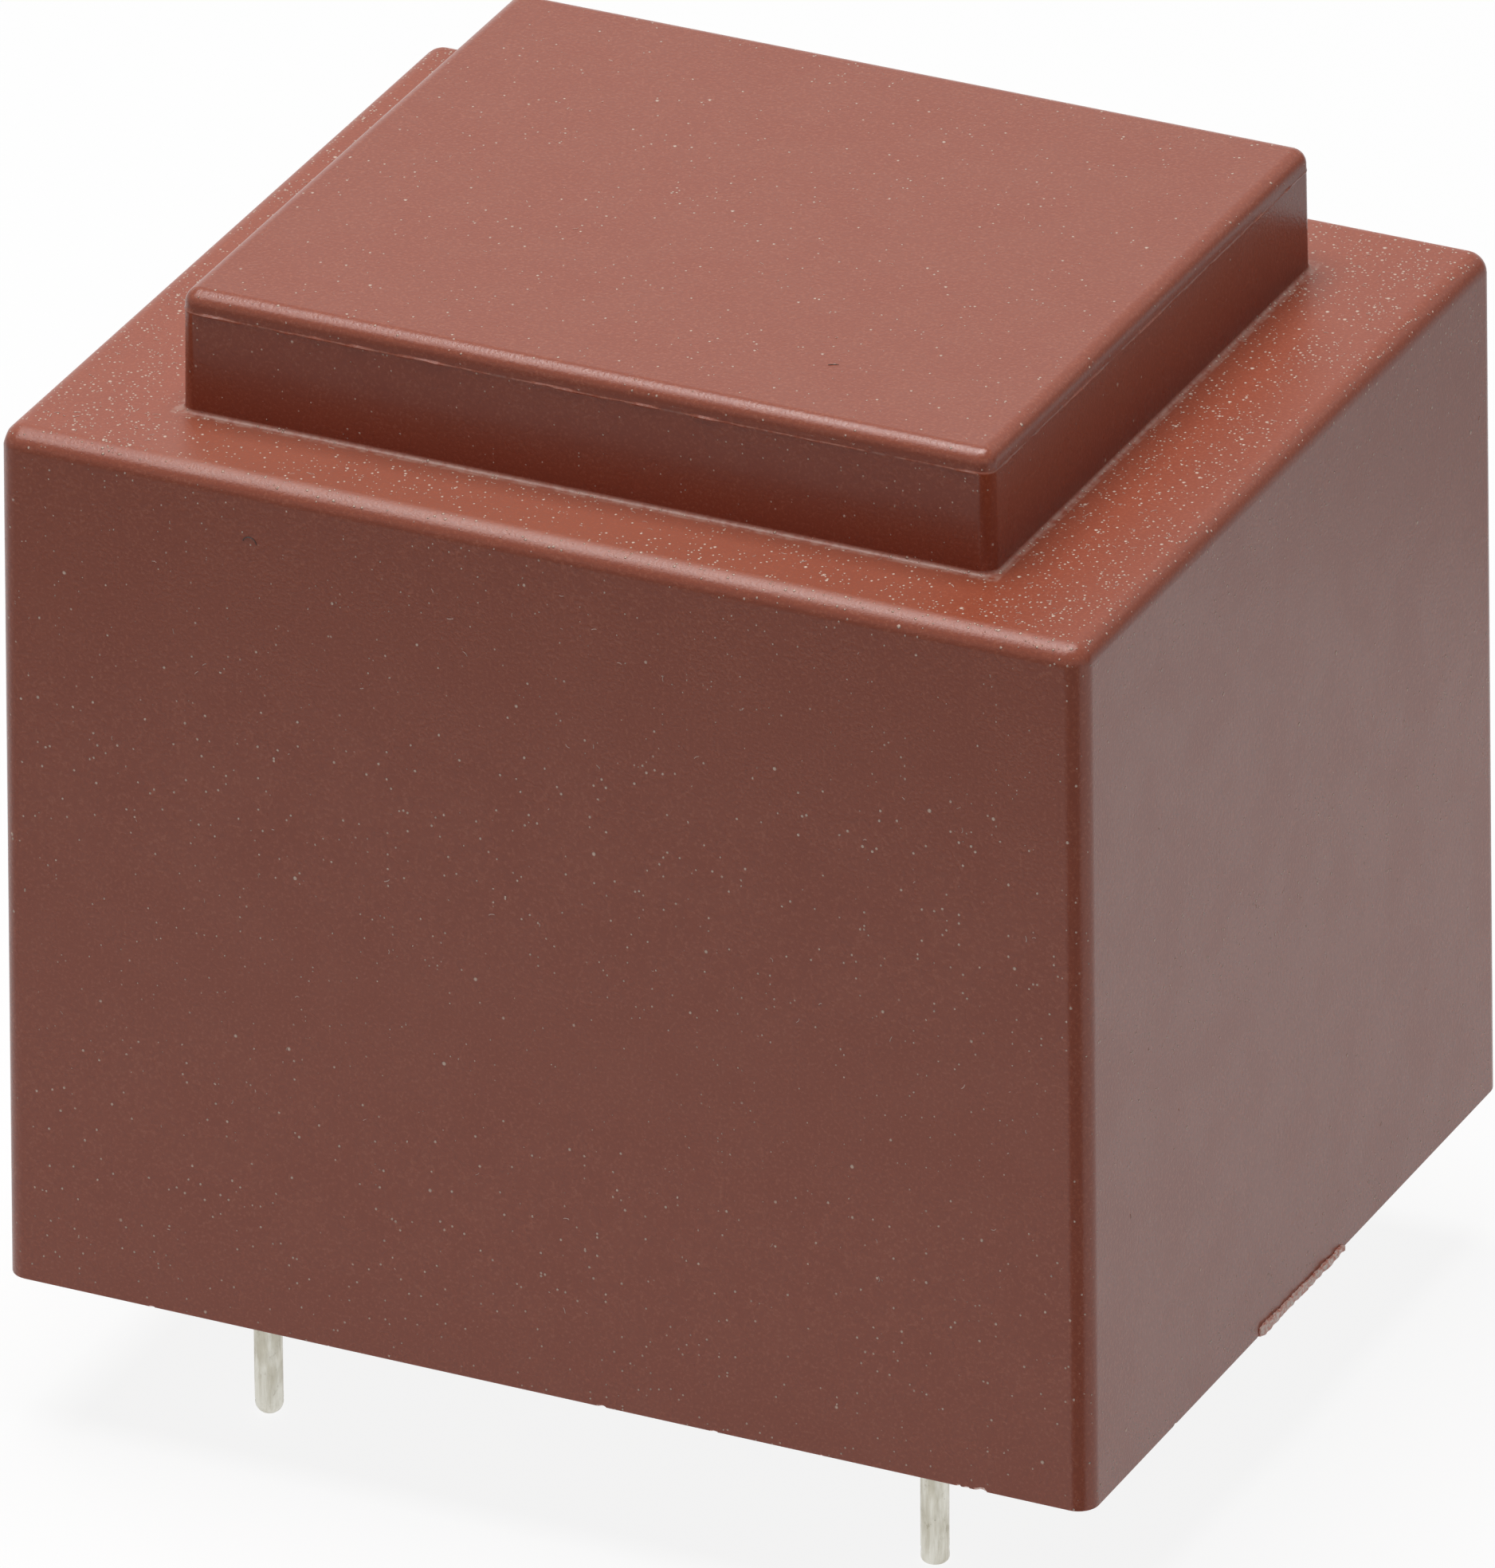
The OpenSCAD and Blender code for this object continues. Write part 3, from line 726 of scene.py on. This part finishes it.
def onRight(y, z):
    x = caseShape["halfX"] - wallLean(caseShape, z)
    return Vector((x, y, z)), Vector((0, 1, 0)), Vector((0, 0, 1))


def onLevel(x, y, z):
    return Vector((x, y, z)), Vector((1, 0, 0)), Vector((0, 1, 0))


def fibrePoints(spot, length, heading, curl, count):
    # Points of a bent fibre that lies in the plane of its spot.
    at, across, up = spot
    points = []
    for step in range(count):
        points.append(at.copy())
        heading += curl / count
        at = at + (across * math.cos(heading) + up * math.sin(heading)) * length / count
    return points


def fibresPiece(name, fibres, material):
    curve = bpy.data.curves.new(name, "CURVE")
    curve.dimensions = "3D"
    curve.bevel_depth = 1.0
    curve.bevel_resolution = 1
    curve.use_fill_caps = True
    for points, radius in fibres:
        spline = curve.splines.new("POLY")
        spline.points.add(len(points) - 1)
        for point, co in zip(spline.points, points):
            point.co = (*co, 1)
            point.radius = radius
        spline.points[-1].radius = radius * 0.55        # the end is thinner
    holder = bpy.data.objects.new(name, curve)
    scene.collection.objects.link(holder)
    finished = holder.evaluated_get(bpy.context.evaluated_depsgraph_get())
    bm = bmesh.new()
    bm.from_mesh(bpy.data.meshes.new_from_object(finished))
    bpy.data.objects.remove(holder)
    return makePiece(name, bm, (material,), 60)


def lintFibres(shape):
    ledge, top = caseShape["ledgeHeight"], caseShape["topHeight"]
    outX, outY = caseShape["halfX"] - 1.0, caseShape["halfY"] - 1.0
    capX, capY = caseShape["capHalfX"] + 0.3, caseShape["capHalfY"] + 0.3
    topX, topY = shape["topHalf"]
    count = shape["count"]
    spots = []
    for fibre in range(count["front"]):
        spots.append(onFront(random.uniform(-outX, outX), random.uniform(*shape["sideHeights"])))
    for fibre in range(count["right"]):
        spots.append(onRight(random.uniform(-outY, outY), random.uniform(*shape["sideHeights"])))
    for fibre in range(count["frontLedge"]):
        spots.append(onLevel(random.uniform(-outX, outX), random.uniform(-outY, -capY), ledge))
    for side, place in ((1, "rightLedge"), (-1, "leftLedge")):
        for fibre in range(count[place]):
            x = capX + (outX - capX) * random.random() ** 1.3
            spots.append(onLevel(side * x, random.uniform(-outY, outY), ledge))
    for fibre in range(count["top"]):
        spots.append(onLevel(random.uniform(-topX, topX), random.uniform(-topY, topY), top))
    fibres = []
    for spot in spots:
        length = random.uniform(*shape["length"])
        heading = random.uniform(0, 6.28)
        curl = random.uniform(-shape["curl"], shape["curl"])
        points = fibrePoints(spot, length, heading, curl, 6)
        fibres.append((points, shape["radius"] * random.uniform(*shape["thickness"])))
    return fibres


def hairFibre(spot, hair):
    points = fibrePoints(spot, hair["length"], hair["heading"], hair["curl"], hair["points"])
    return points, hair["radius"]


paleLint = lintFibre("paleLint", (0.66, 0.50, 0.44), (0.50, 0.34, 0.28))
darkHair = lintFibre("darkHair", (0.10, 0.055, 0.045), (0.05, 0.028, 0.022))
fibresPiece("surfaceLint", lintFibres(lintShape), paleLint)
hairs = (
    hairFibre(onFront(*frontHair["place"]), frontHair),
    hairFibre(onLevel(*topHair["place"]), topHair),
)
fibresPiece("strayHairs", hairs, darkHair)
print("fibres laid")


# The four pins, each with its flattened root in the rail

pinShape = {
    "radius": 0.4,
    "rootWidth": 0.9,
    "rootDepth": 0.6,
    "unevenness": 0.014,                 # how much thinner the tinning is in places
    "step": 0.22,                        # height of the rings of faces
    "fineStep": 0.05,                    # and close to the nick
    "fineReach": 0.12,
    "nickHeight": 0.42,                  # where the cutting die left a ring, above the tip
    "nickDepth": 0.012,
    "nickHalf": 0.03,
    "tipSteps": 8,
    "tipRadius": {                       # one domed tip, the others blunt
        "primary_pin_1": 0.36,
        "primary_pin_5": 0.16,
        "secondary_pin_7": 0.16,
        "secondary_pin_9": 0.16,
    },
}


def tinnedPin(node, tipRadius):
    low, high = [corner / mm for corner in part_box(node)]
    centre = (low + high) / 2
    radius = pinShape["radius"]
    bm = bmesh.new()
    flat = radius - tipRadius
    profile = [(0, low.z), (flat, low.z)]
    for step in range(1, pinShape["tipSteps"] + 1):
        turn = math.pi / 2 * step / pinShape["tipSteps"]
        profile.append((flat + tipRadius * math.sin(turn), low.z + tipRadius * (1 - math.cos(turn))))
    nick = low.z + pinShape["nickHeight"]
    z = profile[-1][1] + pinShape["fineStep"]
    while z < resinLow.z - pinShape["step"] / 2:
        fromNick = abs(z - nick)
        profile.append((radius - pinShape["nickDepth"] if fromNick < pinShape["nickHalf"] else radius, z))
        z += pinShape["fineStep"] if fromNick < pinShape["fineReach"] else pinShape["step"]
    profile += [(radius, resinLow.z), (0, resinLow.z)]
    verts = [bm.verts.new((centre.x + r, centre.y, z)) for r, z in profile]
    edges = [bm.edges.new(pair) for pair in zip(verts, verts[1:])]
    bmesh.ops.spin(bm, geom=verts + edges, cent=(centre.x, centre.y, 0), axis=(0, 0, 1),
                   angle=2 * math.pi, steps=40, use_merge=True)
    bmesh.ops.remove_doubles(bm, verts=bm.verts, dist=0.0005)
    for vert in bm.verts:
        out = Vector((vert.co.x - centre.x, vert.co.y - centre.y, 0))
        thin = 0.5 + 0.5 * noise.noise(Vector((vert.co.x * 2.5, vert.co.y * 2.5, vert.co.z * 0.8)))
        vert.co -= out * thin * pinShape["unevenness"] / radius
    root = bmesh.ops.create_cube(bm, size=1)["verts"]
    height = high.z - resinLow.z
    scaleBox(bm, root, (pinShape["rootWidth"], pinShape["rootDepth"], height),
             (centre.x, centre.y, resinLow.z + height / 2))
    piece = makePiece(node + "Tinned", bm, (tinned,), 45)
    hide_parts(node)


tinned = tinnedWire()
for node, tipRadius in pinShape["tipRadius"].items():
    tinnedPin(node, tipRadius)
print("pins built")


# The resin's free surface: it has crept up the case's wall and round the pins

skinShape = {
    "thickness": 0.06,
    "creep": ((0.04, 0.07), (0.06, 0.045), (0.10, 0.02)),   # inset and fall of each ring
    "wallGap": 0.004,
    "collarRadius": 0.66,
    "collarHeight": 0.13,
}


def resinSkin(shape):
    bm = bmesh.new()
    fall = sum(step[1] for step in shape["creep"])
    level = resinLow.z - 0.01
    halfX = caseShape["cavityHalfX"] - shape["wallGap"]
    halfY = caseShape["cavityHalfY"] - shape["wallGap"]
    height = shape["thickness"] + fall
    slab = bmesh.ops.create_cube(bm, size=1)["verts"]
    scaleBox(bm, slab, (2 * halfX, 2 * halfY, height), (0, 0, level - fall + height / 2))
    corners = [e for e in bm.edges if upright(e)]
    roundEdges(bm, corners, caseShape["cavityRadius"], 4)
    face = faceAt(bm, level - fall, -1)[0]
    for inset, drop in shape["creep"]:
        bmesh.ops.inset_region(bm, faces=[face], thickness=inset, use_even_offset=True)
        bmesh.ops.translate(bm, vec=(0, 0, drop), verts=face.verts)
    for node in pinShape["tipRadius"]:
        low, high = [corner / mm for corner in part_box(node)]
        cone = bmesh.ops.create_cone(bm, segments=32, radius1=pinShape["radius"] + 0.01,
                                     radius2=shape["collarRadius"], depth=shape["collarHeight"])
        x, y = (low.x + high.x) / 2, (low.y + high.y) / 2
        bmesh.ops.translate(bm, vec=(x, y, level - shape["collarHeight"] / 2), verts=cone["verts"])
    return bm


resinPaint = pottingResin()
makePiece("resinSkin", resinSkin(skinShape), (resinPaint,), 50)
print("resin surface built")


# The inner parts keep their CAD shapes and get their finishes

wirePitch = {"primary": 0.25, "secondary": 0.40}     # mm from turn to turn

finishes = (
    (paint, ("casing",)),
    (resinPaint, ("potting_compound",)),
    (varnishedSteel(), ("e_laminations", "i_laminations")),
    (bobbinPlastic(), ("bobbin",)),
    (copperTurns("primaryWire", wirePitch["primary"]),
     ("primary_winding", "primary_lead_1", "primary_lead_5")),
    (copperTurns("secondaryWire", wirePitch["secondary"]),
     ("secondary_winding", "secondary_lead_7", "secondary_lead_9")),
    (polyesterTape(), ("primary_tape", "secondary_tape")),
    (solderSkin(), ("primary_joint_1", "primary_joint_5", "secondary_joint_7", "secondary_joint_9")),
    (tinned, tuple(pinShape["tipRadius"])),
)
for material, nodes in finishes:
    for node in nodes:
        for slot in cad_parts[node].material_slots:
            slot.material = material
print("inner parts finished")


# Camera

cameraPlace = {
    "azimuth": 25.664,                   # degrees to the right of the front
    "elevation": 27.289,
    "roll": -0.536,
    "distance": 0.66326,                 # m
    "aim": (-0.192, 0, 12.067),          # mm
    "lens": 562.2,
    "sensor": 36,
    "nearest": 0.01,                     # m
    "farthest": 20,
}


def placeCamera(place):
    azimuth, elevation, roll = [math.radians(place[name]) for name in ("azimuth", "elevation", "roll")]
    away = Vector((math.sin(azimuth) * math.cos(elevation), -math.cos(azimuth) * math.cos(elevation),
                   math.sin(elevation)))
    data = bpy.data.cameras.new("camera")
    data.lens = place["lens"]
    data.sensor_width = place["sensor"]
    data.clip_start = place["nearest"]
    data.clip_end = place["farthest"]
    camera = bpy.data.objects.new("camera", data)
    camera.location = Vector(place["aim"]) * mm + away * place["distance"]
    facing = away.to_track_quat("Z", "Y").to_matrix() @ Matrix.Rotation(roll, 3, "Z")
    camera.rotation_euler = facing.to_euler()
    scene.collection.objects.link(camera)
    scene.camera = camera


placeCamera(cameraPlace)


# Studio: white floor, soft box overhead, a strip for the rounded edges, and grey cards in the gloss

floorPaint = {
    "half": 3,                           # half its side, m
    "shade": 0.90,                       # how much light the floor gives back to the object
    "shadeSeen": 0.12,                   # and how much to the eye, so that the shadow stays soft
    "glow": 0.89,                        # tops the floor up to white for the eye and in reflections
}
skyStrength = 0.02
softBoxShape = {
    "size": 0.34,                        # m
    "place": (-0.06, 0, 0.56),
    "power": 2.95,
}
rimStrip = {
    "place": (-0.17325, -0.18244, 0.40504),    # m, it faces the ledge's front edge
    "width": 0.13,
    "length": 0.30,
    "power": 0.52,
}
cornerFan = {                            # a fan of floor round the case's front corner
    "first": -100,                       # degrees from the right
    "last": -30,
    "near": 3,                           # mm
    "far": 300,
    "steps": 24,
    "shade": 0.30,
}
floorPatches = {                         # duller floor: from x to x, from y to y in mm, and the shade
    "farFloor": (-260, 120, -300, -66, 0.42),
    "leftFloor": (-300, -36, -65, -22, 0.70),
    "rearFloor": (24, 260, 50, 300, 0.70),
}
walls = {                                # the same with from z to z before the shade
    "dimFront": (-148, 148, -130, -130, -4.5, 24, 0.45),
    "dimRear": (60, 420, 320, 60, -4.5, 120, 0.45),
}
patchHeight = cadLow.z / mm + 0.05       # just clear of the floor


def seenRays(tree):
    # 1 for rays from the camera, in reflections and through clear things.
    path = tree.nodes.new("ShaderNodeLightPath")
    total = path.outputs["Is Camera Ray"]
    for name in ("Is Glossy Ray", "Is Transmission Ray"):
        add = tree.nodes.new("ShaderNodeMath")
        add.operation = "MAXIMUM"
        tree.links.new(total, add.inputs[0])
        tree.links.new(path.outputs[name], add.inputs[1])
        total = add.outputs["Value"]
    return total


def whiteFloor():
    bm = bmesh.new()
    bmesh.ops.create_grid(bm, x_segments=1, y_segments=1, size=floorPaint["half"])
    bmesh.ops.translate(bm, vec=(0, 0, cadLow.z), verts=bm.verts)
    mesh = bpy.data.meshes.new("floor")
    bm.to_mesh(mesh)
    bm.free()
    material = bpy.data.materials.new("floor")
    material.use_nodes = True
    tree = material.node_tree
    tree.nodes.clear()
    output = tree.nodes.new("ShaderNodeOutputMaterial")
    diffuse = tree.nodes.new("ShaderNodeBsdfDiffuse")
    shade = tree.nodes.new("ShaderNodeMapRange")
    shade.inputs["To Min"].default_value = floorPaint["shade"]
    shade.inputs["To Max"].default_value = floorPaint["shadeSeen"]
    tree.links.new(seenRays(tree), shade.inputs["Value"])
    tree.links.new(shade.outputs["Result"], diffuse.inputs["Color"])
    glow = tree.nodes.new("ShaderNodeEmission")
    level = tree.nodes.new("ShaderNodeMath")
    level.operation = "MULTIPLY"
    level.inputs[1].default_value = floorPaint["glow"]
    tree.links.new(seenRays(tree), level.inputs[0])
    tree.links.new(level.outputs["Value"], glow.inputs["Strength"])
    both = tree.nodes.new("ShaderNodeAddShader")
    tree.links.new(diffuse.outputs["BSDF"], both.inputs[0])
    tree.links.new(glow.outputs["Emission"], both.inputs[1])
    tree.links.new(both.outputs["Shader"], output.inputs["Surface"])
    mesh.materials.append(material)
    floor = bpy.data.objects.new("floor", mesh)
    scene.collection.objects.link(floor)


def studioSky():
    world = bpy.data.worlds.new("studioSky")
    world.use_nodes = True
    scene.world = world
    tree = world.node_tree
    tree.nodes.clear()
    output = tree.nodes.new("ShaderNodeOutputWorld")
    sky = tree.nodes.new("ShaderNodeBackground")
    sky.inputs["Color"].default_value = (1, 1, 1, 1)
    level = tree.nodes.new("ShaderNodeMapRange")
    level.inputs["To Min"].default_value = skyStrength
    level.inputs["To Max"].default_value = 1.0          # plain white for the eye and in reflections
    tree.links.new(seenRays(tree), level.inputs["Value"])
    tree.links.new(level.outputs["Result"], sky.inputs["Strength"])
    tree.links.new(sky.outputs["Background"], output.inputs["Surface"])


def areaLamp(name, shape, width, power, place):
    lamp = bpy.data.lights.new(name, "AREA")
    lamp.shape = shape
    lamp.size = width
    lamp.energy = power
    holder = bpy.data.objects.new(name, lamp)
    holder.location = place
    scene.collection.objects.link(holder)
    return holder


def softBox(shape):
    areaLamp("softBox", "SQUARE", shape["size"], shape["power"], shape["place"])


def rimLight(shape):
    # A strip at the front left that shows only in gloss, most of all on the rounded edges.
    strip = areaLamp("rimLight", "RECTANGLE", shape["width"], shape["power"], shape["place"])
    strip.data.size_y = shape["length"]
    lit = Vector((0, -caseShape["halfY"], caseShape["ledgeHeight"])) * mm
    strip.rotation_euler = (strip.location - lit).to_track_quat("Z", "Y").to_euler()
    strip.visible_diffuse = False
    strip.visible_camera = False


def greyCard(name, bm, shade):
    # A card that only shows in reflections, as a dimmer part of the room.
    bmesh.ops.scale(bm, vec=(mm, mm, mm), verts=bm.verts)
    mesh = bpy.data.meshes.new(name)
    bm.to_mesh(mesh)
    bm.free()
    material = bpy.data.materials.new(name)
    material.use_nodes = True
    material.cycles.emission_sampling = "NONE"
    tree = material.node_tree
    tree.nodes.clear()
    output = tree.nodes.new("ShaderNodeOutputMaterial")
    glow = tree.nodes.new("ShaderNodeEmission")
    glow.inputs["Strength"].default_value = shade
    tree.links.new(glow.outputs["Emission"], output.inputs["Surface"])
    mesh.materials.append(material)
    card = bpy.data.objects.new(name, mesh)
    card.visible_camera = False
    card.visible_diffuse = False
    card.visible_shadow = False
    card.visible_transmission = False
    scene.collection.objects.link(card)


def dimFloor(shape):
    # The duller floor before the case's right side and front.
    bm = bmesh.new()
    heading = math.radians(shape["first"])
    along = Vector((math.cos(heading), math.sin(heading), 0))
    apex = Vector((caseShape["halfX"], -caseShape["halfY"], patchHeight))
    ends = [bm.verts.new(apex + along * radius) for radius in (shape["near"], shape["far"])]
    edge = bm.edges.new(ends)
    bmesh.ops.spin(bm, geom=ends + [edge], cent=apex, axis=(0, 0, 1), steps=shape["steps"],
                   angle=math.radians(shape["last"] - shape["first"]))
    greyCard("dimFloor", bm, shape["shade"])


def flatCard(name, corners, shade):
    bm = bmesh.new()
    bm.faces.new([bm.verts.new(corner) for corner in corners])
    greyCard(name, bm, shade)


def dimPatch(name, x, endX, y, endY, shade):
    height = patchHeight
    flatCard(name, ((x, y, height), (endX, y, height), (endX, endY, height), (x, endY, height)), shade)


def dimWall(name, x, endX, y, endY, low, high, shade):
    flatCard(name, ((x, y, low), (endX, endY, low), (endX, endY, high), (x, y, high)), shade)


whiteFloor()
studioSky()
softBox(softBoxShape)
rimLight(rimStrip)
dimFloor(cornerFan)
for name, values in floorPatches.items():
    dimPatch(name, *values)
for name, values in walls.items():
    dimWall(name, *values)
print("studio set")
